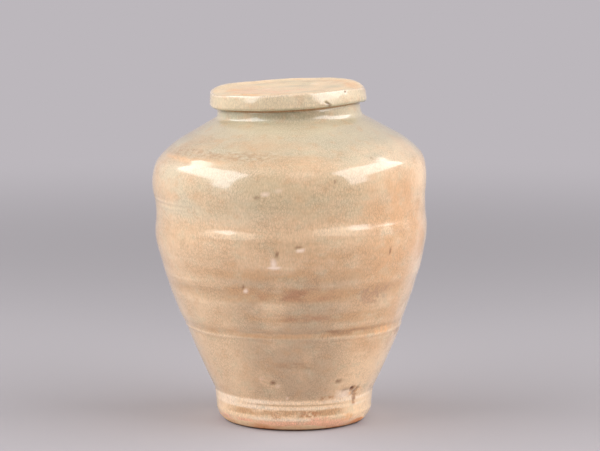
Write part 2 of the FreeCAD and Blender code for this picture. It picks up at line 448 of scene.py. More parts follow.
@dataclass(frozen=True)
class Wire:
    """What a socket gives. Sums on it are written as Python and become nodes.

    Attributes:
        bench: The material that it belongs to.
        socket: The socket that gives it.
    """

    bench: "Bench"
    socket: bpy.types.NodeSocket

    def maths(self, operation: str, *values: "Wire | float") -> "Wire":
        """Add a Math node on values, in their order."""
        return self.bench.node("ShaderNodeMath", {"operation": operation}, dict(enumerate(values)))

    def __add__(self, other: "Wire | float") -> "Wire":
        """Add."""
        return self.maths("ADD", self, other)

    def __radd__(self, other: float) -> "Wire":
        """Add to a number."""
        return self.maths("ADD", other, self)

    def __sub__(self, other: "Wire | float") -> "Wire":
        """Take away."""
        return self.maths("SUBTRACT", self, other)

    def __rsub__(self, other: float) -> "Wire":
        """Take from a number."""
        return self.maths("SUBTRACT", other, self)

    def __mul__(self, other: "Wire | float") -> "Wire":
        """Multiply."""
        return self.maths("MULTIPLY", self, other)

    def __rmul__(self, other: float) -> "Wire":
        """Multiply a number."""
        return self.maths("MULTIPLY", other, self)

    def __truediv__(self, other: "Wire | float") -> "Wire":
        """Divide."""
        return self.maths("DIVIDE", self, other)

    def __rtruediv__(self, other: float) -> "Wire":
        """Divide a number."""
        return self.maths("DIVIDE", other, self)

    def __neg__(self) -> "Wire":
        """Turn the sign."""
        return self.maths("MULTIPLY", self, -1.0)

    def held(self) -> "Wire":
        """Hold a value between 0 and 1."""
        return self.bench.node("ShaderNodeClamp", {}, {"Value": self})

    def rising(self, low: float, high: float) -> "Wire":
        """Ease from 0 at a low value to 1 at a high one."""
        sockets = {"Value": self, "From Min": low, "From Max": high}
        return self.bench.node("ShaderNodeMapRange", {"interpolation_type": "SMOOTHSTEP"}, sockets)

    def falling(self, low: float, high: float) -> "Wire":
        """Ease from 1 at a low value to 0 at a high one."""
        sockets = {"Value": self, "From Min": low, "From Max": high, "To Min": 1.0, "To Max": 0.0}
        return self.bench.node("ShaderNodeMapRange", {"interpolation_type": "SMOOTHSTEP"}, sockets)


@dataclass(frozen=True)
class Cloud:
    """A cloudy pattern.

    Attributes:
        spacing: How far apart its clouds lie, in millimetres.
        detail: How many finer layers it has.
        stretch: How many times longer the clouds are each way.
        shift: How far the pattern is moved, to give another one.
    """

    spacing: float
    detail: float = 2.0
    stretch: Point = (1.0, 1.0, 1.0)
    shift: float = 0.0


class Bench:
    """The nodes of one material, lamp or world, made one by one."""

    def __init__(self, owner: bpy.types.Material | bpy.types.Light | bpy.types.World) -> None:
        """Start with no nodes.

        Args:
            owner: The material, lamp or world that has the nodes.
        """
        owner.use_nodes = True
        self.tree = owner.node_tree
        self.tree.nodes.clear()

    def node(self, kind: str, settings: dict[str, object], sockets: dict[str | int, object],
             output: str | int = 0) -> Wire:
        """Add a node.

        Args:
            kind: The type of the node.
            settings: What is set on the node itself, first.
            sockets: The value or wire of each socket, by its name or number.
            output: Which output is wanted.

        Returns:
            The wire from that output.
        """
        made = self.tree.nodes.new(kind)
        for name, value in settings.items():
            setattr(made, name, value)
        for name, value in sockets.items():
            if isinstance(value, Wire):
                self.tree.links.new(value.socket, made.inputs[name])
            else:
                made.inputs[name].default_value = value
        return Wire(self, made.outputs[output] if made.outputs else None)

    def mixed(self, share: Wire | float, start: Wire | Colour, end: Wire | Colour) -> Wire:
        """Mix two colours, the end one by its share."""
        first, second = (part if isinstance(part, Wire) else (*part, 1.0) for part in (start, end))
        settings = {"data_type": "RGBA", "clamp_factor": True}
        return self.node("ShaderNodeMix", settings, {0: share, 6: first, 7: second}, 2)

    def dimmed(self, colour: Wire, brightness: Wire) -> Wire:
        """Make a colour darker or lighter by a brightness."""
        sockets = {0: colour, "Scale": brightness}
        return self.node("ShaderNodeVectorMath", {"operation": "SCALE"}, sockets)

    def look(self, name: str) -> Wire:
        """Read what the mesh knows of each place, by name."""
        return self.node("ShaderNodeAttribute", {"attribute_name": name}, {}, "Fac")

    def looked_at(self) -> Wire:
        """Give 1 where a place is seen, also in a gloss or through glass, and 0 where it lights."""
        looks = ("Is Camera Ray", "Is Glossy Ray", "Is Transmission Ray")
        camera, gloss, glass = (self.node("ShaderNodeLightPath", {}, {}, look) for look in looks)
        return (camera + gloss + glass).held()

    def noise(self, place: Wire, cloud: Cloud) -> Wire:
        """Add a cloudy noise about a half.

        Args:
            place: Where on the pot, in millimetres.
            cloud: The pattern of the noise.

        Returns:
            The noise.
        """
        squeeze = tuple(1.0 / (cloud.spacing * long) for long in cloud.stretch)
        sockets = {0: place, 1: squeeze, 2: (cloud.shift, cloud.shift, cloud.shift)}
        moved = self.node("ShaderNodeVectorMath", {"operation": "MULTIPLY_ADD"}, sockets)
        sockets = {"Vector": moved, "Scale": 1.0, "Detail": cloud.detail}
        return self.node("ShaderNodeTexNoise", {}, sockets)


@dataclass(frozen=True)
class Spot:
    """Where a shaded point lies on the pot.

    Attributes:
        place: Its place in millimetres.
        level: Its height above the table, or its way along the outline of a lid.
        angle: Its angle from the front, in radians.
    """

    place: Wire
    level: Wire
    angle: Wire

    @classmethod
    def on(cls, bench: Bench, axis_at: float) -> "Spot":
        """Find the spot from the piece's own coordinates, which move with it.

        Args:
            bench: The material.
            axis_at: How far right the piece's axis stands, in millimetres.

        Returns:
            The spot.
        """
        own = bench.node("ShaderNodeTexCoord", {}, {}, "Object")
        place = bench.node("ShaderNodeVectorMath", {"operation": "SCALE"}, {0: own, "Scale": 1.0 / MM})
        across = bench.node("ShaderNodeSeparateXYZ", {}, {0: place}, "X") - axis_at
        back = bench.node("ShaderNodeSeparateXYZ", {}, {0: place}, "Y")
        return cls(place, bench.look("level"), across.maths("ARCTAN2", across, -back))


@dataclass(frozen=True)
class Patch:
    """A stretch of the surface that has another colour, with soft uneven edges.

    Attributes:
        colour: Its colour.
        strength: How much of that colour shows, 0 to 1.
        low: Where it begins, going up.
        high: Where it ends.
        blur: Over how many millimetres its lower and upper edges fade.
        angle: The angle of its middle.
        spread: How many degrees it reaches each way. From 180 it goes all round.
        fade: Over how many degrees its ends fade.
        cloud: How far apart the clouds lie that break it up.
        streak: How many times longer they are round the pot than up it.
        cover: How much of it the clouds leave, 0 to 1.
        shift: Which pattern of clouds it has.
        detail: How many finer layers the clouds have.
        least: Where the clouds are cut with no cover, 0 to 1.
        gain: How much lower they are cut with full cover.
        softness: How soft the cut is, each way.
    """

    colour: Colour
    strength: float
    low: float
    high: float
    blur: float
    angle: float = 0.0
    spread: float = 180.0
    fade: float = 16.0
    cloud: float = 7.0
    streak: float = 1.0
    cover: float = 0.5
    shift: float = 0.0
    detail: float = 3.0
    least: float = 0.62
    gain: float = 0.24
    softness: float = 0.13

    def mask(self, bench: Bench, spot: Spot) -> Wire:
        """Give how much of the patch shows at a spot."""
        band = spot.level.rising(self.low - self.blur, self.low + self.blur)
        band = band * spot.level.falling(self.high - self.blur, self.high + self.blur)
        if self.spread < 180:
            turned = spot.angle - math.radians(self.angle)
            facing = turned.maths("COSINE", turned)
            far = math.cos(math.radians(min(180.0, self.spread + self.fade)))
            near = math.cos(math.radians(max(0.0, self.spread - self.fade)))
            band = band * facing.rising(far, near)
        cloud = Cloud(self.cloud, self.detail, (self.streak, self.streak, 1.0), self.shift)
        cut = self.least - self.gain * self.cover
        left = bench.noise(spot.place, cloud).rising(cut - self.softness, cut + self.softness)
        return band * left * self.strength

    def over(self, bench: Bench, spot: Spot, colour: Wire) -> Wire:
        """Lay the patch over a colour."""
        return bench.mixed(self.mask(bench, spot), colour, self.colour)


@dataclass(frozen=True)
class Clay:
    """The bare fired clay of the foot, the seat and the inside.

    An edge is the stretch of a pattern, 0 to 1, over which one look turns into another.

    Attributes:
        pale: Its colour where it is driest.
        ruddy: Its colour where the fire flashed it orange.
        burnt: The colour of its dark specks.
        flashes: The pattern of the orange flashes.
        flash_edge: Where the flashes begin.
        specks: The pattern of the specks.
        speck_edge: Where the specks begin.
        speck_share: How much of their colour shows.
        tones: The pattern of lighter and darker clay.
        tone_least: The brightness of the darkest clay.
        tone_range: How much brighter the lightest is.
        grit: The pattern of the gritty surface.
        grit_rise: How far the grit stands out, in millimetres.
    """

    pale: Colour = shown(233, 203, 168)
    ruddy: Colour = shown(222, 160, 118)
    burnt: Colour = shown(150, 104, 72)
    flashes: Cloud = Cloud(9.0, 4.0, (1.8, 1.8, 1.0), 4.0)
    flash_edge: Span = (0.38, 0.62)
    specks: Cloud = Cloud(0.9, shift=9.0)
    speck_edge: Span = (0.62, 0.74)
    speck_share: float = 0.45
    tones: Cloud = Cloud(2.2, 4.0, shift=2.0)
    tone_least: float = 0.83
    tone_range: float = 0.35
    grit: Cloud = Cloud(0.8, 3.0, shift=5.0)
    grit_rise: float = 0.12

    def colour(self, bench: Bench, spot: Spot) -> Wire:
        """Colour the clay: pale and ruddy clouds with dark specks."""
        flashed = bench.noise(spot.place, self.flashes).rising(*self.flash_edge)
        clay = bench.mixed(flashed, self.pale, self.ruddy)
        specks = bench.noise(spot.place, self.specks).rising(*self.speck_edge)
        clay = bench.mixed(specks * self.speck_share, clay, self.burnt)
        tone = bench.noise(spot.place, self.tones) * self.tone_range + self.tone_least
        return bench.dimmed(clay, tone)

    def grain(self, bench: Bench, spot: Spot) -> Wire:
        """Give the height of its gritty surface, in millimetres."""
        return bench.noise(spot.place, self.grit) * self.grit_rise


@dataclass(frozen=True)
class CeladonGlaze:
    """A thin, crackled grey-green glaze over clay, warm where it is thin and cool where it pools.

    An edge is the stretch of a pattern, 0 to 1, over which one look turns into another.

    Attributes:
        name: The name of the material.
        thin: The colour of the thinnest glaze, on ridges and edges.
        middle: The colour of most of it.
        thick: The colour of pools.
        patches: The stretches that the fire or the earth coloured, and some painted light and shade,
            from the bottom layer up.
        axis_at: How far right the axis of the piece stands, in millimetres.
        clay: The clay under it.
        soot_and_shadow: The colour of dirt in a pit, and of the painted shadow at the jar's foot.
        scar: The colour of a pale scar.
        tan: The colour of small blotches where iron shows.
        green: The colour of small blotches where the glaze is coolest.
        pools: The pattern of wide pools.
        pool_share: How much the pools thicken the glaze.
        rings: The pattern of rings round the pot.
        ring_share: How much the rings thicken it.
        runs: The pattern of runs down the pot.
        run_share: How much the runs thicken it.
        relief_share: How much thinner it is for each millimetre that the clay stands out.
        thin_edge: Where thin glaze turns into middling.
        thick_edge: Where middling glaze turns into thick.
        blotches: The pattern of the small blotches.
        tan_edge: Where the tan ones begin.
        tan_share: How much of their colour shows.
        green_edge: Where the green ones end.
        green_share: How much of their colour shows.
        crackle: How wide the cells of the crackle are, in millimetres. They are twice as tall.
        crack_edge: From its middle, how far a crack is full and where it ends, in cells.
        crack_dark: How much darker every crack is.
        webs: The pattern of stretches with stained cracks.
        web_edge: Where these begin.
        web_dark: How much darker their cracks are.
        mottle: The pattern of the finest mottling.
        mottle_share: How much the mottling brightens and darkens.
        brightness: How bright the whole is.
        dirt: The pattern of the dirt in pits and of the painted shadow at the jar's foot.
        dirt_least: The least of it.
        dirt_range: How much more there is where it is most.
        ragged: The pattern that makes the edge of bare clay ragged.
        ragged_range: How ragged it is.
        bare_edge: Where bare clay begins.
        peel: The pattern of the glaze's slightly uneven skin.
        peel_rise: How far the skin rises, in millimetres.
        crack_depth: How deep a crack is, in millimetres.
        roughness: How dull the coloured layer is.
        bare_roughness: How much duller bare clay is.
        mottle_roughness: How much the mottling changes that.
        shine: How much the coloured layer reflects.
        gloss_roughness: How dull the gloss is.
        gloss_index: The refractive index of the gloss.
        worn: How much of the gloss is rubbed off, 0 to 1.
        worn_from: From which level on it is.
        worn_fade: Over how many millimetres that begins.
    """

    name: str
    thin: Colour
    middle: Colour
    thick: Colour
    patches: tuple[Patch, ...]
    axis_at: float = 0.0
    clay: Clay = Clay()
    soot_and_shadow: Colour = shown(116, 66, 28)
    scar: Colour = shown(252, 226, 208)
    tan: Colour = shown(206, 160, 118)
    green: Colour = shown(206, 196, 166)
    pools: Cloud = Cloud(16.0, 3.0, (2.2, 2.2, 1.0), 1.0)
    pool_share: float = 0.8
    rings: Cloud = Cloud(3.2, 3.0, (6.0, 6.0, 1.0), 3.0)
    ring_share: float = 0.7
    runs: Cloud = Cloud(1.6, 2.0, (1.0, 1.0, 8.0), 11.0)
    run_share: float = 0.35
    relief_share: float = 2.1
    thin_edge: Span = (0.05, 0.5)
    thick_edge: Span = (0.5, 0.95)
    blotches: Cloud = Cloud(3.4, 4.0, (1.4, 1.4, 1.0), 14.0)
    tan_edge: Span = (0.52, 0.7)
    tan_share: float = 0.3
    green_edge: Span = (0.3, 0.48)
    green_share: float = 0.26
    crackle: float = 0.72
    crack_edge: Span = (0.02, 0.17)
    crack_dark: float = 0.04
    webs: Cloud = Cloud(11.0, shift=12.0)
    web_edge: Span = (0.36, 0.62)
    web_dark: float = 0.14
    mottle: Cloud = Cloud(0.45, 2.0, (1.0, 1.0, 3.0), 6.0)
    mottle_share: float = 0.5
    brightness: float = 1.04
    dirt: Cloud = Cloud(0.8, shift=13.0)
    dirt_least: float = 0.9
    dirt_range: float = 0.7
    ragged: Cloud = Cloud(1.6, 3.0, shift=8.0)
    ragged_range: float = 0.5
    bare_edge: Span = (0.35, 0.6)
    peel: Cloud = Cloud(1.8, shift=7.0)
    peel_rise: float = 0.014
    crack_depth: float = 0.004
    roughness: float = 0.42
    bare_roughness: float = 0.42
    mottle_roughness: float = 0.1
    shine: float = 0.3
    gloss_roughness: float = 0.1
    gloss_index: float = 1.52
    worn: float = 0.0
    worn_from: float = 0.0
    worn_fade: float = 1.2

    def depth(self, bench: Bench, spot: Spot) -> Wire:
        """Give how thick the glaze lies, about 0 at the thinnest and 1 in pools."""
        pools = bench.noise(spot.place, self.pools) - 0.5
        rings = bench.noise(spot.place, self.rings) - 0.5
        runs = bench.noise(spot.place, self.runs) - 0.5
        depth = 0.5 + pools * self.pool_share + rings * self.ring_share + runs * self.run_share
        return depth - bench.look("relief") * self.relief_share

    def cells(self, bench: Bench, spot: Spot) -> Wire:
        """Give the fine cracks of the glaze, 1 in a crack."""
        size = (1.0 / self.crackle, 1.0 / self.crackle, 0.5 / self.crackle)
        place = bench.node("ShaderNodeVectorMath", {"operation": "MULTIPLY"}, {0: spot.place, 1: size})
        settings = {"feature": "DISTANCE_TO_EDGE"}
        edge = bench.node("ShaderNodeTexVoronoi", settings, {"Vector": place, "Scale": 1.0}, "Distance")
        return edge.falling(*self.crack_edge)

    def dress(self) -> bpy.types.Material:
        """Make the material."""
        material = bpy.data.materials.new(self.name)
        bench = Bench(material)
        spot = Spot.on(bench, self.axis_at)
        depth = self.depth(bench, spot)
        colour = bench.mixed(depth.rising(*self.thin_edge), self.thin, self.middle)
        colour = bench.mixed(depth.rising(*self.thick_edge), colour, self.thick)
        for patch in self.patches:
            colour = patch.over(bench, spot, colour)
        blotches = bench.noise(spot.place, self.blotches)
        colour = bench.mixed(blotches.rising(*self.tan_edge) * self.tan_share, colour, self.tan)
        colour = bench.mixed(blotches.falling(*self.green_edge) * self.green_share, colour, self.green)
        cracks = self.cells(bench, spot)
        webs = bench.noise(spot.place, self.webs).rising(*self.web_edge)
        mottle = bench.noise(spot.place, self.mottle) - 0.5
        colour = bench.dimmed(colour, self.brightness + mottle * self.mottle_share
                              - cracks * (self.crack_dark + webs * self.web_dark))
        # The stain look holds the dirt in flaws and, on the jar, the painted contact shadow at its foot.
        stain = bench.look("stain")
        grime_and_foot_shadow = stain * (self.dirt_least + bench.noise(spot.place, self.dirt) * self.dirt_range)
        bare = bench.look("bare") + (bench.noise(spot.place, self.ragged) - 0.5) * self.ragged_range
        bare = bare.rising(*self.bare_edge)
        colour = bench.mixed(bare, colour, self.clay.colour(bench, spot))
        colour = bench.mixed((-grime_and_foot_shadow).held(), bench.mixed(grime_and_foot_shadow.held(), colour, self.soot_and_shadow), self.scar)
        peel = bench.noise(spot.place, self.peel) * self.peel_rise - cracks * self.crack_depth
        grain = self.clay.grain(bench, spot)
        bump = peel + bare * (grain - peel)
        roughness = self.roughness + bare * self.bare_roughness + mottle * self.mottle_roughness
        raised = {"Strength": 1.0, "Distance": MM, "Height": bump}
        normal = bench.node("ShaderNodeBump", {}, raised, "Normal")
        gloss = 1.0 - bare
        if self.worn:
            rubbed = spot.level.rising(self.worn_from, self.worn_from + self.worn_fade)
            gloss = gloss * (1.0 - rubbed * self.worn)
        shader = bench.node("ShaderNodeBsdfPrincipled", {}, {
            "Base Color": colour,
            "Roughness": roughness,
            "Specular IOR Level": self.shine,
            "Coat Weight": gloss,
            "Coat Roughness": self.gloss_roughness,
            "Coat IOR": self.gloss_index,
            "Normal": normal,
        })
        bench.node("ShaderNodeOutputMaterial", {}, {"Surface": shader})
        return material


CELADON = shown(203, 188, 160)
SEA_GREEN = shown(186, 184, 158)
OLIVE_POOL_AND_SHADE = shown(150, 138, 102)
MIST = shown(216, 199, 170)
KHAKI = shown(208, 184, 148)
BUFF = shown(232, 202, 168)
CREAM = shown(248, 214, 176)
CHALK = shown(250, 226, 202)
PEACH = shown(218, 170, 126)
APRICOT = shown(240, 184, 132)
ROSE = shown(246, 188, 156)
OCHRE = shown(206, 162, 120)
RUSSET = shown(180, 128, 94)
UMBER = shown(176, 134, 98)
PLUM = shown(170, 132, 112)
RUST = shown(184, 122, 76)
# Painted shade for the front middle of the lower wall, darker where the side softboxes light it less.
PAINTED_SHADE = shown(194, 165, 135)


@dataclass
class Jar:
    """The jar: two thrown halves luted at the seam, a short neck and a flat seat, all leaning a little.

    A place is how far it is from the axis and how far up it is, on the pot before it leans. A
    curve is the radius of an arc.
    """

    # The outline, up the outside, over the seat and down the inside.
    base_edge: Place = (26.2, 0.0)
    foot_edge: Place = (29.75, 4.6)
    foot_top: Place = (30.45, 12.2)
    seam_lip: Place = (41.35, 36.85)
    seam_ledge: Place = (41.2, 37.05)
    belly: Place = (51.5, 69.0)
    lower_bulge: Place = (51.65, 78.5)
    waist: Place = (51.85, 87.5)
    upper_bulge: Place = (51.75, 98.5)
    shoulder_turn: Place = (50.65, 101.5)
    shoulder_edge: Place = (49.8, 102.6)
    shoulder: Place = (41.8, 109.4)
    neck_root: Place = (28.3, 116.95)
    neck: Place = (27.35, 119.6)
    rim: Place = (27.1, 121.7)
    seat_outside: Place = (26.3, 122.5)
    seat_inside: Place = (22.3, 122.5)
    bore: Place = (21.5, 121.7)
    bore_foot: Place = (21.5, 113.65)
    inner_shoulder: Place = (42.9, 101.5)
    inner_belly: Place = (46.75, 98.5)
    inner_waist: Place = (46.75, 78.5)
    inner_seam: Place = (35.7, 36.0)
    floor_edge: Place = (25.45, 12.0)
    floor: Place = (0.0, 7.0)
    # The curves between those places, in the same order.
    bevel_curve: float = 7.0
    lower_wall_curve: float = 340.0
    upper_wall_curve: float = 160.0
    bulge_curve: float = 25.0
    waist_curve: float = 50.0
    shoulder_curve: float = 12.0
    shoulder_edge_curve: float = 4.0
    slope_curve: float = 34.0
    neck_curve: float = 3.24
    inner_shoulder_curve: float = 20.0
    inner_wall_curve: float = 175.0
    floor_curve: float = 67.3
    edge_softness: float = 0.28
    # The lean of the upper half and of the mouth, and over how much height each begins.
    seam_centre: Point = (0.0, 0.0, 36.0)
    upper_lean: float = 1.4
    mouth_centre: Point = (-2.113383, 0.0, 122.474179)
    mouth_axis: Point = (-0.052316, -0.027922, 0.99824)
    upper_bending: float = 8.0
    upper_bend_below: float = 2.0
    mouth_bending: float = 3.6
    mouth_bend_below: float = 1.0
    # Where the glaze ends above the foot: its height, how it wanders, and one dip.
    glaze_edge: float = 2.6
    edge_swell: Swell = Swell(12, 22.0, 0.9)
    edge_blur: float = 1.2
    dip_angle: float = 45.0
    dip_spread: float = 22.0
    dip_depth: float = 2.4
    # Where it ends at the seat, above the rim.
    seat_edge: float = 0.3
    seat_blur: float = 0.5
    # The painted contact shadow at the very foot: how dark it is, how far up it goes and over how much
    # it fades.
    foot_shadow: float = 0.95
    foot_shadow_top: float = 0.8
    foot_shadow_fade: float = 0.6
    # The throwing spiral inside, and over how much of its ends it fades.
    spiral_pitch: float = 6.5
    spiral_rise: float = 0.22
    spiral_fade: float = 6.0
    # The plain stretches at the base and the rim, where nothing stands out.
    plain_base: float = 0.3
    plain_fade: float = 1.5
    # How finely the surface is divided. Lines narrower than fine_line draw the rows closer.
    sides: int = 400
    outside_rows: int = 210
    outside_attention: float = 5.0
    bore_rows: int = 8
    inside_rows: int = 36
    inside_attention: float = 2.0
    fine_line: float = 1.0
    # The lines, from the neck down, and what else the hand, the fire and the years left; a few of the
    # patches are painted light and shade.
    lines: tuple[ThrowingLine, ...] = (
        ThrowingLine(119.2, 1.15, -0.15, -75, 72, climb=0.4),
        ThrowingLine(115.8, 0.5, 0.05),
        ThrowingLine(108.2, 0.6, 0.07, -85, 30),
        ThrowingLine(105.6, 1.2, -0.06, -85, 0),
        ThrowingLine(103.7, 0.5, 0.08, -85, -25),
        ThrowingLine(98.4, 0.5, 0.05, -90, -40),
        ThrowingLine(92.4, 1.0, -0.07, -25, 40),
        ThrowingLine(88.6, 0.4, 0.08, -90, -25),
        ThrowingLine(86.8, 0.45, 0.12, -90, 25),
        ThrowingLine(84.8, 0.45, 0.1, -80, 5),
        ThrowingLine(84.0, 1.2, -0.06, -60, 50),
        ThrowingLine(79.7, 1.7, 0.68, 2, 63, 18, climb=-1.1),
        ThrowingLine(81.0, 0.6, 0.06, -90, -10),
        ThrowingLine(77.5, 1.4, 0.33, -46, -8, 14),
        ThrowingLine(75.0, 0.8, -0.05, -70, 30),
        ThrowingLine(65.9, 0.5, 0.04, -35, 25),
        ThrowingLine(62.4, 1.2, -0.08, -70, 60),
        ThrowingLine(59.0, 1.3, 0.08, climb=0.3),
        ThrowingLine(55.0, 2.2, -0.15, climb=0.3),
        ThrowingLine(50.6, 1.1, 0.06),
        ThrowingLine(45.6, 1.4, -0.09, -50, 60),
        ThrowingLine(42.6, 0.8, 0.05),
        ThrowingLine(39.7, 0.8, -0.06),
        ThrowingLine(39.7, 0.8, -0.18, -48, 90, 30),
        ThrowingLine(37.5, 0.55, 0.2),
        ThrowingLine(36.2, 0.4, -0.06),
        ThrowingLine(26.0, 1.4, -0.04, -40, 30),
        ThrowingLine(11.4, 0.35, 0.10),
        ThrowingLine(10.3, 0.3, -0.14, -30, 40),
        ThrowingLine(9.1, 0.35, 0.12, -85, 60),
        ThrowingLine(7.1, 0.8, -0.14, -70, 45),
        ThrowingLine(5.3, 0.5, 0.12),
    )
    swells: tuple[Swell, ...] = (
        Swell(3, 60.0, 0.05, 1.5),
        Swell(5, 15.0, 0.03, 4.0),
        Swell(8, 5.0, 0.007, 2.5),
    )
    sways: tuple[Sway, ...] = (
        Sway(61.0, 7.0, 0.18),
        Sway(92.0, 7.0, -0.38),
    )
    line_wobble: Swell = Swell(14, 17.0, 0.45, 3.0)
    flaws: tuple[Flaw, ...] = (
        Flaw(-5.8, 71.0, 0.6, 0.6, 0.2, edge=2.0, stain=0.5),
        Flaw(-6.4, 69.8, 0.8, 1.1, 0.08, stain=0.25),
        Flaw(-7.5, 67.7, 1.1, 1.5, 0.12, stain=-0.8),
        Flaw(-7.4, 65.9, 2.3, 0.55, -0.1, edge=2.0, stain=-1.0),
        Flaw(2.6, 73.8, 1.4, 0.45, 0.25, tip=-6.0, stain=0.5),
        Flaw(3.6, 72.6, 1.5, 0.45, -0.2, edge=2.0, stain=-0.7),
        Flaw(45.0, 70.2, 0.5, 1.0, 0.3, lip=0.1, stain=0.75),
        Flaw(-21.9, 57.8, 0.55, 0.5, 0.2, stain=0.6),
        Flaw(-21.0, 56.5, 0.9, 0.75, -0.15, stain=-0.8),
        Flaw(-48.0, 71.2, 1.1, 0.5, 0.1, stain=0.3),
        Flaw(18.8, 97.7, 0.5, 0.5, 0.12, stain=0.6),
        Flaw(9.8, 91.9, 0.9, 0.45, 0.1, stain=0.4),
        Flaw(38.8, 105.0, 0.5, 0.4, 0.1, stain=0.45),
        Flaw(-8.8, 93.4, 5.4, 0.35, -0.1, tip=14.0, stain=-0.55),
        Flaw(-13.0, 91.9, 2.6, 0.35, 0.1, tip=14.0, stain=0.38),
        Flaw(-14.6, 20.1, 1.9, 0.4, 0.25, tip=-12.0, stain=0.8),
        Flaw(-18.8, 20.6, 1.7, 0.4, -0.12, tip=-10.0, stain=-0.55),
        Flaw(-10.5, 18.6, 1.0, 0.5, 0.05, stain=-0.3),
        Flaw(28.1, 19.4, 0.6, 0.45, 0.2, stain=0.75),
        Flaw(30.4, 19.8, 1.3, 0.35, 0.1, tip=10.0, stain=0.5),
        Flaw(-4.7, 13.4, 0.5, 0.45, -0.1, stain=-0.5),
        Flaw(9.3, 24.3, 0.5, 0.5, -0.1, stain=-0.5),
        Flaw(43.3, 15.4, 1.2, 0.95, 0.9, edge=2.0, stain=1.0),
        Flaw(46.0, 14.0, 0.8, 1.3, 0.5, tip=-50.0, stain=0.65),
        Flaw(38.4, 16.2, 2.6, 0.5, 0.25, tip=3.0, stain=0.8),
        Flaw(48.8, 15.5, 1.2, 0.5, 0.2, tip=-20.0, stain=0.55),
        Flaw(38.4, 13.6, 2.4, 1.1, 0.35, stain=-0.5),
        Flaw(47.8, 11.2, 0.6, 1.6, 0.15, stain=0.5),
        Flaw(63.6, 2.1, 1.6, 1.2, -0.5),
        Flaw(-13.1, 5.6, 1.6, 0.7, -0.2),
        Flaw(13.6, 6.6, 2.0, 0.7, -0.2),
        Flaw(150.0, 62.0, 1.4, 0.8, 0.3, lip=0.1, stain=0.5),
        Flaw(-128.0, 88.0, 0.8, 0.8, 0.25, stain=0.7),
        Flaw(110.0, 30.0, 2.0, 0.6, 0.3, lip=0.1, tip=6.0, stain=0.4),
        Flaw(172.0, 18.0, 1.6, 1.0, 0.4, lip=0.1, bare=0.4),
    )
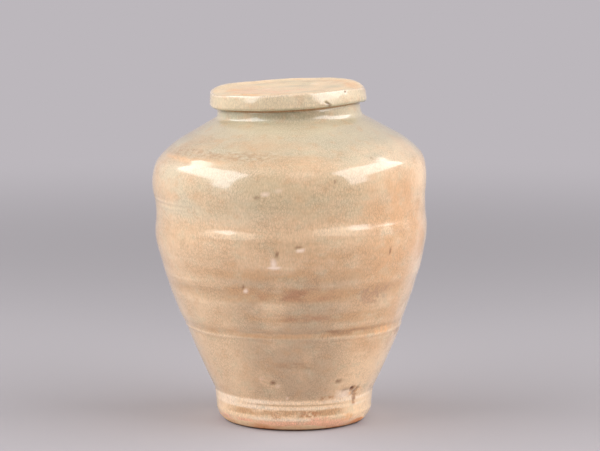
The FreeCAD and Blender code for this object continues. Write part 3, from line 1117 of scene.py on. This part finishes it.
    patches: tuple[Patch, ...] = (
        Patch(CELADON, 0.95, 103, 130, 2.5, cloud=20, cover=1),
        Patch(MIST, 0.85, 82, 102, 3, -52, 38, 14, cloud=12, streak=2, cover=0.8, shift=1),
        Patch(KHAKI, 0.75, 84, 101, 3, -2, 34, 18, cloud=12, streak=1.5, cover=0.85, shift=2),
        Patch(PEACH, 0.85, 56, 97, 5, 60, 26, 14, cloud=12, cover=0.75, shift=3),
        Patch(CREAM, 0.85, 84, 102, 3, 80, 14, 8, cloud=12, cover=0.9, shift=35),
        Patch(CREAM, 0.85, 3, 34, 4, 66, 34, 20, cloud=16, cover=0.9, shift=4),
        Patch(BUFF, 0.6, 12.5, 52, 6, -42, 34, 18, cloud=14, cover=0.75, shift=5),
        # Painted shade: the front middle of the lower wall darker, where the two side softboxes light it
        # less.
        Patch(PAINTED_SHADE, 0.9, 12.5, 63, 2.5, -1, 21, 17, cloud=14, cover=1, shift=6),
        Patch(PEACH, 0.6, 30, 56, 5, 56, 22, 14, cloud=9, cover=0.65, shift=36),
        # Painted light: the right edge of the wall paler, where the right light reaches further round
        # and down.
        Patch(CHALK, 0.65, 0, 78, 9, 92, 24, 15, cloud=16, cover=0.8, shift=59),
        Patch(OCHRE, 0.7, 60.5, 72, 3, 2, 26, 14, cloud=8, streak=1.5, cover=0.65, shift=37),
        Patch(OCHRE, 0.85, 52.5, 58, 1.4, 2, 52, 20, cloud=5, streak=4, cover=0.75, shift=7),
        Patch(RUSSET, 0.75, 53, 57.5, 1.2, 0, 13, 8, cloud=3, streak=3, cover=0.6, shift=8),
        Patch(OCHRE, 0.6, 61, 64.5, 1.2, -6, 36, 16, cloud=4, streak=6, cover=0.6, shift=9),
        Patch(OCHRE, 0.7, 43.8, 47.6, 1, 14, 34, 14, cloud=3, streak=5, cover=0.6, shift=10),
        Patch(RUSSET, 0.55, 44.9, 47.4, 0.8, 5, 13, 8, cloud=2.5, streak=3, cover=0.55, shift=38),
        Patch(OCHRE, 0.85, 38, 41.2, 0.5, 2, 52, 20, cloud=3.5, streak=6, cover=0.75, shift=11),
        Patch(UMBER, 0.7, 38.7, 41, 0.6, 26, 10, 7, cloud=2, streak=3, cover=0.65, shift=12),
        Patch(PLUM, 0.55, 50.5, 57, 1.5, 40, 7, 5, cloud=2.2, cover=0.5, shift=13),
        Patch(BUFF, 0.7, 102.8, 109, 2, 56, 24, 12, cloud=5, streak=3, cover=0.85, shift=70),
        Patch(OCHRE, 0.4, 102.4, 112, 2, -42, 42, 18, cloud=3, streak=6, cover=0.7, shift=60),
        Patch(APRICOT, 0.5, 102.5, 104.2, 0.8, -56, 20, 10, cloud=2, streak=6, cover=0.7, shift=18),
        Patch(UMBER, 0.5, 104.4, 107.4, 0.8, -42, 36, 12, cloud=0.7, streak=3, cover=0.4, shift=19),
        Patch(UMBER, 0.55, 25.8, 28.2, 0.8, 2, 11, 6, cloud=2, streak=3, cover=0.6, shift=20),
        Patch(RUST, 0.65, 12, 13.8, 0.6, 23.8, 4.6, 3, cloud=1, cover=0.5, shift=21),
        Patch(CREAM, 0.8, 2, 12.2, 0.8, -10, 110, 20, cloud=9, cover=1, shift=61),
        Patch(CHALK, 0.75, 8.6, 12.2, 0.6, -46, 22, 12, cloud=9, cover=1, shift=69),
        Patch(CHALK, 0.8, 10.9, 11.9, 0.3, -5, 70, 16, cloud=4, streak=5, cover=0.9, shift=22),
        Patch(UMBER, 0.5, 10, 10.6, 0.25, 0, 34, 12, cloud=3, streak=6, cover=0.8, shift=62),
        Patch(CHALK, 0.8, 8.6, 9.5, 0.3, -5, 70, 16, cloud=4, streak=5, cover=0.9, shift=63),
        Patch(OCHRE, 0.95, 6, 8.4, 0.4, -8, 44, 12, cloud=2.5, streak=4, cover=0.75, shift=23),
        Patch(CHALK, 0.75, 4.2, 5.3, 0.3, -14, 34, 10, cloud=3, streak=5, cover=0.85, shift=24),
        Patch(ROSE, 0.9, -2, 4.2, 0.6, -14, 60, 14, cloud=4, streak=2, cover=0.9, shift=49),
        Patch(RUST, 0.75, 5, 7.8, 0.5, -13.1, 2.6, 2, cloud=1.2, cover=0.6, shift=25),
        Patch(RUST, 0.8, 5.8, 8.2, 0.5, 11, 7, 3, cloud=1.2, cover=0.7, shift=26),
        Patch(OCHRE, 0.7, 6.6, 8.8, 0.5, 31.4, 3, 2, cloud=1.5, cover=0.6, shift=27),
        Patch(ROSE, 0.9, 2.6, 5.6, 0.5, 19, 6, 4, cloud=1.8, cover=0.75, shift=50),
        Patch(APRICOT, 0.8, 3.2, 6, 0.6, 43, 5, 3, cloud=2, cover=0.7, shift=28),
        Patch(APRICOT, 0.75, 37.3, 40.4, 0.7, 53.4, 6, 4, cloud=2, cover=0.6, shift=29),
        Patch(UMBER, 0.7, 34.8, 37.6, 0.8, 74, 4, 3, cloud=1.6, cover=0.7, shift=30),
        Patch(CHALK, 0.9, 12, 15.8, 0.8, 38.5, 7, 3.5, cloud=3, cover=0.95, shift=52),
        Patch(APRICOT, 0.75, 12.6, 16.6, 0.8, 47, 5, 3, cloud=1.4, cover=0.6, shift=53),
        Patch(RUST, 0.7, 9, 13.4, 0.6, 48.2, 1.6, 1.6, cloud=1, cover=0.7, shift=31),
        Patch(SEA_GREEN, 0.6, 116.6, 123, 1.2, -38, 36, 20, cloud=6, cover=0.7, shift=32),
        # Olive glaze pooled under the lid, made darker as painted shade under its overhang.
        Patch(OLIVE_POOL_AND_SHADE, 0.5, 118.2, 123, 0.8, 0, 30, 14, cloud=3, streak=2, cover=0.85, shift=33),
    )

    def outside(self) -> Outline:
        """Follow the outside, from the middle of the base over the seat and down into the mouth."""
        outline = Outline.starting(0.0, 0.0).line(*self.base_edge).arc(*self.foot_edge, self.bevel_curve)
        outline.line(*self.foot_top).arc(*self.seam_lip, self.lower_wall_curve).line(*self.seam_ledge)
        outline.arc(*self.belly, self.upper_wall_curve).arc(*self.lower_bulge, self.bulge_curve)
        outline.arc(*self.waist, self.waist_curve, Bulge.IN).arc(*self.upper_bulge, self.bulge_curve)
        outline.arc(*self.shoulder_turn, self.shoulder_curve)
        outline.arc(*self.shoulder_edge, self.shoulder_edge_curve)
        outline.arc(*self.shoulder, self.slope_curve).line(*self.neck_root)
        outline.arc(*self.neck, self.neck_curve, Bulge.IN).line(*self.rim)
        outline.line(*self.seat_outside).line(*self.seat_inside)
        return outline.line(*self.bore).line(*self.bore_foot)

    def inside(self) -> Outline:
        """Follow the inside, from the foot of the bore down to the middle of the floor."""
        outline = Outline.starting(*self.bore_foot).line(*self.inner_shoulder)
        outline.arc(*self.inner_belly, self.inner_shoulder_curve, Bulge.IN).line(*self.inner_waist)
        outline.arc(*self.inner_seam, self.inner_wall_curve, Bulge.IN).line(*self.floor_edge)
        return outline.arc(*self.floor, self.floor_curve, Bulge.IN)

    def mouth(self) -> Stance:
        """Give the stance of the mouth, on which the lid rests."""
        return Stance.along(self.mouth_centre, self.seat_outside[1], self.mouth_axis)

    def leaned(self, lathe: Lathe) -> tuple[np.ndarray, np.ndarray]:
        """Lean the upright pot: the foot stands square, the upper half leans, and the mouth leans more.

        Args:
            lathe: The pot as rows of its outline.

        Returns:
            The places of the surface and its outward directions, by row and side.
        """
        upright, outward = lathe.spin(lathe.places), lathe.spin(lathe.outward)
        lean = math.radians(self.upper_lean)
        axis = (-math.sin(lean), 0.0, math.cos(lean))
        upper = Stance.along(self.seam_centre, self.seam_centre[2], axis)
        up = upright[..., 2:]
        places, turned = upright, outward
        for stance, start, bending in (
            (upper, self.seam_lip[1] - self.upper_bend_below, self.upper_bending),
            (self.mouth(), self.neck_root[1] - self.mouth_bend_below, self.mouth_bending),
        ):
            share = eased((up - start) / bending)
            places = places * (1.0 - share) + stance.place(upright) * share
            turned = turned * (1.0 - share) + stance.turn(outward) * share
        places[..., 0] += sum(sway.at(places[..., 2]) for sway in self.sways)
        return places, turned / np.linalg.norm(turned, axis=-1, keepdims=True)

    def build(self) -> bpy.types.Object:
        """Throw the jar: shape it, press in its lines and flaws, and note where the glaze ends."""
        heights = [line.height for line in self.lines if line.width < self.fine_line]
        softness = self.edge_softness
        outer = self.outside().rows(self.outside_rows, softness, self.outside_attention, heights)
        inner = self.inside().rows(self.inside_rows, softness, self.inside_attention)
        rows = [np.concatenate([first, second[1:]]) for first, second in zip(outer, inner)]
        lathe = Lathe(*rows, self.sides)
        surface, outward = self.leaned(lathe)
        angle = np.broadcast_to(lathe.angles(), surface.shape[:2])
        height = surface[..., 2]
        across, up = lathe.places[:, :1], lathe.places[:, 1:]
        row = np.arange(len(surface))[:, None]
        outside = row < int(np.argmax(up > self.rim[1]))

        relief = sum(line.at(angle, height) for line in self.lines)
        relief = relief * (1.0 + self.line_wobble.at(surface))
        marks, bare, stain = marred(self.flaws, angle, height, np.broadcast_to(across, angle.shape))
        relief = relief + marks
        # Painted contact shadow: the foot darkened towards the table, carried in the stain look.
        stain = stain + self.foot_shadow * eased((self.foot_shadow_top - height) / self.foot_shadow_fade)
        uneven = sum(swell.at(surface) for swell in self.swells)
        spiral = self.spiral_rise * np.cos(2 * math.pi * (height / self.spiral_pitch + angle / 360.0))
        near_ends = eased((height - self.plain_base) / self.plain_fade)
        near_ends = near_ends * eased((self.rim[1] - up) / self.plain_fade)
        inner_ends = eased((height - self.floor_edge[1]) / self.spiral_fade)
        inner_ends = inner_ends * eased((self.bore_foot[1] - height) / self.spiral_fade)
        stand_out = np.where(outside, (relief + uneven) * near_ends, spiral * inner_ends)

        edge = self.glaze_edge + self.edge_swell.at(surface * [1.0, 1.0, 0.0])
        edge -= self.dip_depth * eased(1.0 - np.abs(angle - self.dip_angle) / self.dip_spread)
        bare = np.maximum(bare, eased((edge - height) / self.edge_blur + 0.5))
        seat = eased((up - self.rim[1] - self.seat_edge) / self.seat_blur)
        seat = np.where(row < self.outside_rows - self.bore_rows, seat, 0.0)
        bare = np.where(outside, bare, seat)
        looks = {
            "relief": np.where(outside, relief, 0.0),
            "bare": np.broadcast_to(bare, relief.shape),
            "level": np.where(outside, height, -height),
            "stain": np.where(outside, stain, 0.0),
        }
        return lathe.mesh("thrown_jar", surface + outward * stand_out[..., None], looks)

    def glaze(self) -> CeladonGlaze:
        """Choose the jar's glaze."""
        return CeladonGlaze(
            name="jar_celadon",
            thin=shown(238, 208, 174),
            middle=shown(222, 188, 152),
            thick=shown(204, 170, 134),
            patches=self.patches,
        )

    def make(self) -> bpy.types.Object:
        """Build the jar, dress it and set it on its body."""
        piece = self.build()
        piece.data.materials.append(self.glaze().dress())
        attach(piece, "jar")
        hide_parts("jar")
        return piece


@dataclass
class Lid:
    """The lid: a thick disc with a sunk middle, and a ring under it that drops into the mouth.

    A place is how far it is from the axis and how far above the seat it is. A curve is the
    radius of an arc.
    """

    # The outline, across the underside, up the band and over the top.
    ring_inside: float = 16.7
    ring_tip: float = 20.2
    ring_root: float = 20.6
    ring_depth: float = 5.0
    bearing: float = 29.0
    bearing_turn: float = 1.0
    band_foot: Place = (30.0, 1.0)
    ridge_outside: Place = (29.4, 5.5)
    ridge_inside: Place = (29.0, 5.5)
    groove_inside: Place = (22.5, 5.3)
    flat_inside: Place = (18.0, 5.25)
    sunk_edge: Place = (13.0, 4.7)
    # The curves of the band and the groove.
    foot_curve: float = 1.4
    band_curve: float = 16.0
    groove_curve: float = 12.0
    edge_softness: float = 0.18
    # How far the glaze reaches in under the edge, and a band's flaw in over the ridge.
    glaze_under: float = 1.8
    band_margin: float = 0.5
    # The plain stretch at the lower edge, where nothing stands out.
    plain_foot: float = 0.2
    plain_fade: float = 1.5
    # From how far out the top follows the warp of the rim and over how much, and how much
    # further out and shorter that is at the lower edge.
    warp_from: float = 23.0
    warp_fade: float = 6.0
    foot_warp_further: float = 3.5
    foot_warp_shorter: float = 4.0
    # How finely the surface is divided.
    sides: int = 360
    under_rows: int = 34
    under_attention: float = 3.0
    upper_rows: int = 130
    upper_attention: float = 4.0
    # What the hand, the fire and the years left; two of the patches are painted glints.
    swells: tuple[Swell, ...] = (
        Swell(21, 30.0, 0.06),
        Swell(22, 9.0, 0.03),
        Swell(23, 3.5, 0.01),
    )
    flaws: tuple[Flaw, ...] = (
        Flaw(30.0, 1.2, 1.5, 0.5, 0.5, tip=-42.0, edge=2.0, stain=0.45),
        Flaw(32.0, 0.4, 0.8, 0.6, 0.3, stain=0.3),
        Flaw(48.0, 4.7, 0.5, 0.4, 0.2, stain=0.75),
        Flaw(70.0, 1.2, 1.2, 0.7, 0.35, lip=0.1),
    )
    patches: tuple[Patch, ...] = (
        Patch(CREAM, 0.6, 7, 60, 1, cloud=9, streak=1.5, cover=0.7, shift=40),
        Patch(SEA_GREEN, 0.8, -4, 2.2, 0.5, cloud=6, cover=1, shift=66),
        Patch(CELADON, 0.7, 7.6, 13, 1.2, 5, 60, 20, cloud=6, cover=0.7, shift=41),
        Patch(ROSE, 0.85, 9.6, 12.6, 0.8, 4, 14, 7, cloud=2.5, streak=3, cover=0.75, shift=67),
        Patch(APRICOT, 0.7, 9.4, 15, 1, -48, 18, 9, cloud=2.5, streak=2, cover=0.65, shift=68),
        Patch(CELADON, 0.8, 18.5, 24, 1.2, 14, 24, 12, cloud=3, cover=0.75, shift=45),
        Patch(CELADON, 0.6, 23, 29, 1.5, 165, 40, 20, cloud=3, cover=0.7, shift=54),
        Patch(APRICOT, 0.6, 8.5, 14.5, 1.5, 112, 30, 14, cloud=5, cover=0.65, shift=42),
        Patch(APRICOT, 0.6, 13, 19, 1.5, -97, 18, 10, cloud=4, cover=0.65, shift=44),
        Patch(ROSE, 0.75, 29, 31.8, 0.6, 25, 40, 20, cloud=2.5, streak=3, cover=0.75, shift=43),
        Patch(ROSE, 0.4, 15, 30, 2, -60, 60, 30, cloud=4, cover=0.5, shift=55),
        # Painted glints: two small pale spots on the sunk top, where the softboxes' highlights fall.
        Patch(CHALK, 0.9, 27, 28.8, 0.4, -116, 9, 5, cloud=1.6, cover=0.9, shift=56),
        Patch(CHALK, 0.6, 20.6, 22.2, 0.4, 136, 7, 4, cloud=1.6, cover=0.9, shift=57),
        Patch(CHALK, 0.5, 6.4, 7.8, 0.4, cloud=4, streak=3, cover=0.8, shift=46),
    )
    warps: tuple[RimWarp, ...] = (
        RimWarp(0.0, 45.0, 0.35, 0.0),
        RimWarp(36.0, 20.0, 0.0, 0.0, pinch=0.6),
        RimWarp(-38.0, 16.0, 0.0, 0.0, pinch=0.25),
        RimWarp(-68.0, 16.0, -0.5, -0.5),
        RimWarp(92.0, 24.0, -1.75, -1.45),
        RimWarp(-125.0, 22.0, 0.5, 0.0),
    )

    def underside(self) -> Outline:
        """Follow the underside, from its middle round the ring to the edge of the bearing face."""
        outline = Outline.starting(0.0, 0.0).line(self.ring_inside, 0.0)
        outline.line(self.ring_inside, -self.ring_depth).line(self.ring_tip, -self.ring_depth)
        return outline.line(self.ring_root, 0.0).line(self.bearing - self.bearing_turn, 0.0)

    def upper_side(self) -> Outline:
        """Follow the band and the top, from the edge of the bearing face to the middle."""
        outline = Outline.starting(self.bearing - self.bearing_turn, 0.0).line(self.bearing, 0.0)
        outline.arc(*self.band_foot, self.foot_curve).arc(*self.ridge_outside, self.band_curve)
        outline.line(*self.ridge_inside).arc(*self.groove_inside, self.groove_curve, Bulge.IN)
        return outline.line(*self.flat_inside).line(*self.sunk_edge).line(0.0, self.sunk_edge[1])

    def build(self, mouth: Stance) -> bpy.types.Object:
        """Throw the lid and set it on the mouth.

        Args:
            mouth: The stance of the jar's mouth.

        Returns:
            The piece.
        """
        under = self.underside().rows(self.under_rows, self.edge_softness, self.under_attention)
        upper = self.upper_side().rows(self.upper_rows, self.edge_softness, self.upper_attention)
        rows = [np.concatenate([first, second[1:]]) for first, second in zip(under, upper)]
        lathe = Lathe(*rows, self.sides)
        stance = Stance(mouth.centre, 0.0, mouth.lean)
        upright, outward = lathe.spin(lathe.places), lathe.spin(lathe.outward)
        angle = np.broadcast_to(lathe.angles(), upright.shape[:2])
        across, up = lathe.places[:, :1], lathe.places[:, 1:]
        above = (np.arange(len(upright)) >= self.under_rows)[:, None]

        on_band = across > self.ridge_inside[0] - self.band_margin
        marks = marred(self.flaws, angle, upright[..., 2], across)
        relief, bare, stain = (mark * on_band for mark in marks)
        uneven = sum(swell.at(upright) for swell in self.swells)
        rise = eased((up - self.plain_foot) / self.plain_fade)
        surface = upright + outward * np.where(above, (relief + uneven) * rise, 0.0)[..., None]

        up_band = np.clip(up / self.ridge_inside[1], 0.0, 1.0)
        down_band = 1.0 - up_band
        past = across - self.warp_from - self.foot_warp_further * down_band
        on_rim = eased(past / (self.warp_fade - self.foot_warp_shorter * down_band))
        for warp in self.warps:
            rise_there, drawn_in = warp.at(angle, up_band)
            surface[..., 2] += on_rim * rise_there
            surface[..., :2] *= (1.0 - on_rim * drawn_in / self.band_foot[0])[..., None]

        steps = np.linalg.norm(np.diff(lathe.places, axis=0, prepend=lathe.places[:1]), axis=1)
        along = np.cumsum(steps) - steps[:self.under_rows].sum()
        level = np.broadcast_to(along[:, None], angle.shape)
        bare = np.where(above | (across > self.bearing - self.glaze_under), bare, 1.0)
        looks = {"relief": relief, "bare": bare, "level": level, "stain": stain}
        return lathe.mesh("thrown_lid", stance.place(surface), looks)

    def glaze(self, mouth: Stance) -> CeladonGlaze:
        """Choose the lid's glaze."""
        return CeladonGlaze(
            name="lid_celadon",
            thin=shown(232, 210, 180),
            middle=shown(218, 198, 166),
            thick=shown(200, 184, 150),
            patches=self.patches,
            axis_at=float(mouth.centre[0]),
            gloss_roughness=0.15,
            worn=0.85,
            worn_from=7.4,
        )

    def make(self, mouth: Stance) -> bpy.types.Object:
        """Build the lid, dress it and set it on its body."""
        piece = self.build(mouth)
        piece.data.materials.append(self.glaze(mouth).dress())
        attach(piece, "lid")
        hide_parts("lid")
        return piece


@dataclass
class Studio:
    """The floor, the two softboxes, the fill of the room and the camera.

    Its sizes and places are in metres, and spans on a softbox are shares of its width or height.
    """

    # The floor, which turns into the backdrop between the last two distances from the jar.
    floor_size: float = 16.0
    floor_seen: Colour = shown(178, 173, 177)
    floor_bounce: Colour = shown(206, 198, 194)
    backdrop: Colour = shown(188, 183, 188)
    shadow_reach: float = 0.2
    backdrop_from: float = 0.9
    # Where the softboxes point, how large they are and where they hang.
    aim: Point = (0.0, 0.0, 0.065)
    box_width: float = 0.82
    box_height: float = 0.46
    box_distance: float = 0.62
    box_angle: float = 79.0
    box_rise: float = 31.0
    box_roll: float = 10.5
    # How soft their long and short edges are, and a card that masks the lower edge of each, up to
    # the height where it fades out and except for a flap near the inner end.
    box_soft_edge: float = 0.1
    box_sharp_edge: float = 0.025
    box_card: Span = (0.2, 0.3)
    box_flap: Span = (0.22, 0.34)
    box_brightness: float = 4.6
    fill: float = 0.28
    # The camera, turned down and to the right, and its lens in millimetres.
    camera_place: Point = (0.0, -1.040, 0.2184)
    camera_down: float = 7.869
    camera_right: float = 0.130
    lens: float = 164.23

    def lay_floor(self) -> None:
        """Lay a plain pale floor that keeps the jar's shadow."""
        half = self.floor_size / 2
        mesh = bpy.data.meshes.new("floor")
        corners = [(-half, -half, 0.0), (half, -half, 0.0), (half, half, 0.0), (-half, half, 0.0)]
        mesh.from_pydata(corners, [], [(0, 1, 2, 3)])
        floor = bpy.data.objects.new("floor", mesh)
        bpy.context.scene.collection.objects.link(floor)
        material = bpy.data.materials.new("floor_paper")
        bench = Bench(material)
        looked_at = bench.looked_at()
        paper = bench.node("ShaderNodeBsdfDiffuse", {}, {
            "Color": bench.mixed(looked_at, self.floor_bounce, self.floor_seen),
        })
        backdrop = bench.node("ShaderNodeEmission", {}, {"Color": (*self.backdrop, 1.0)})
        own = bench.node("ShaderNodeTexCoord", {}, {}, "Object")
        away = bench.node("ShaderNodeVectorMath", {"operation": "LENGTH"}, {0: own}, "Value")
        share = looked_at * away.rising(self.shadow_reach, self.backdrop_from)
        surface = bench.node("ShaderNodeMixShader", {}, {0: share, 1: paper, 2: backdrop})
        bench.node("ShaderNodeOutputMaterial", {}, {"Surface": surface})
        mesh.materials.append(material)

    def hang_softbox(self, name: str, side: int) -> None:
        """Hang a softbox to the left or right of the jar.

        Args:
            name: Its name.
            side: -1 for the left and 1 for the right.
        """
        lamp = bpy.data.lights.new(name, "AREA")
        lamp.shape = "RECTANGLE"
        lamp.size, lamp.size_y = self.box_width, self.box_height
        lamp.energy = self.box_brightness * math.pi * self.box_width * self.box_height
        bench = Bench(lamp)
        cloth = bench.node("ShaderNodeNewGeometry", {}, {}, "Parametric")
        across, up = (bench.node("ShaderNodeSeparateXYZ", {}, {0: cloth}, axis) for axis in "XY")
        sharp, soft = self.box_sharp_edge, self.box_soft_edge
        inward = across if side < 0 else 1.0 - across
        glow = across.rising(0.0, sharp) * across.falling(1.0 - sharp, 1.0)
        glow = glow * up.rising(0.0, soft) * up.falling(1.0 - soft, 1.0) / (1.0 - soft)
        flap_start, flap_end = self.box_flap
        card = up.falling(*self.box_card) * inward.falling(1.0 - flap_end, 1.0 - flap_start)
        glow = glow * (1.0 - card)
        cloth_light = bench.node("ShaderNodeEmission", {}, {"Strength": glow})
        bench.node("ShaderNodeOutputLight", {}, {"Surface": cloth_light})
        turn, rise = math.radians(side * self.box_angle), math.radians(self.box_rise)
        level = math.cos(rise)
        away = Vector((math.sin(turn) * level, -math.cos(turn) * level, math.sin(rise)))
        holder = bpy.data.objects.new(name, lamp)
        holder.location = Vector(self.aim) + away * self.box_distance
        roll = Quaternion((0.0, 0.0, 1.0), math.radians(side * self.box_roll))
        holder.rotation_mode = "QUATERNION"
        holder.rotation_quaternion = away.to_track_quat("Z", "Y") @ roll
        holder.visible_camera = False
        bpy.context.scene.collection.objects.link(holder)

    def fill_room(self) -> None:
        """Fill the room with an even light, and show it as pale as the floor."""
        world = bpy.data.worlds.new("studio_fill")
        bench = Bench(world)
        fill = bench.node("ShaderNodeBackground", {}, {"Color": (self.fill, self.fill, self.fill, 1.0)})
        backdrop = bench.node("ShaderNodeBackground", {}, {"Color": (*self.backdrop, 1.0)})
        room = bench.node("ShaderNodeMixShader", {}, {0: bench.looked_at(), 1: fill, 2: backdrop})
        bench.node("ShaderNodeOutputWorld", {}, {"Surface": room})
        bpy.context.scene.world = world

    def set_camera(self) -> None:
        """Set the camera where the photo was taken from."""
        camera = bpy.data.objects.new("camera", bpy.data.cameras.new("camera"))
        camera.data.lens = self.lens
        camera.location = self.camera_place
        down, right = math.radians(90.0 - self.camera_down), math.radians(self.camera_right)
        camera.rotation_euler = (down, 0.0, -right)
        bpy.context.scene.collection.objects.link(camera)
        bpy.context.scene.camera = camera

    def make(self) -> None:
        """Set up the whole studio."""
        self.lay_floor()
        self.hang_softbox("left_softbox", -1)
        self.hang_softbox("right_softbox", 1)
        self.fill_room()
        self.set_camera()
        bpy.context.scene.view_settings.view_transform = "Standard"


def main() -> None:
    """Build the jar, its lid and the studio, and note how many faces each piece has."""
    logging.basicConfig(level=logging.INFO, format="%(name)s: %(message)s")
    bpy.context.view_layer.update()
    jar = Jar()
    for piece in (jar.make(), Lid().make(jar.mouth())):
        LOG.info("%s: %d faces", piece.name, len(piece.data.polygons))
    Studio().make()
    LOG.info("studio set")


if __name__ == "__main__":
    main()
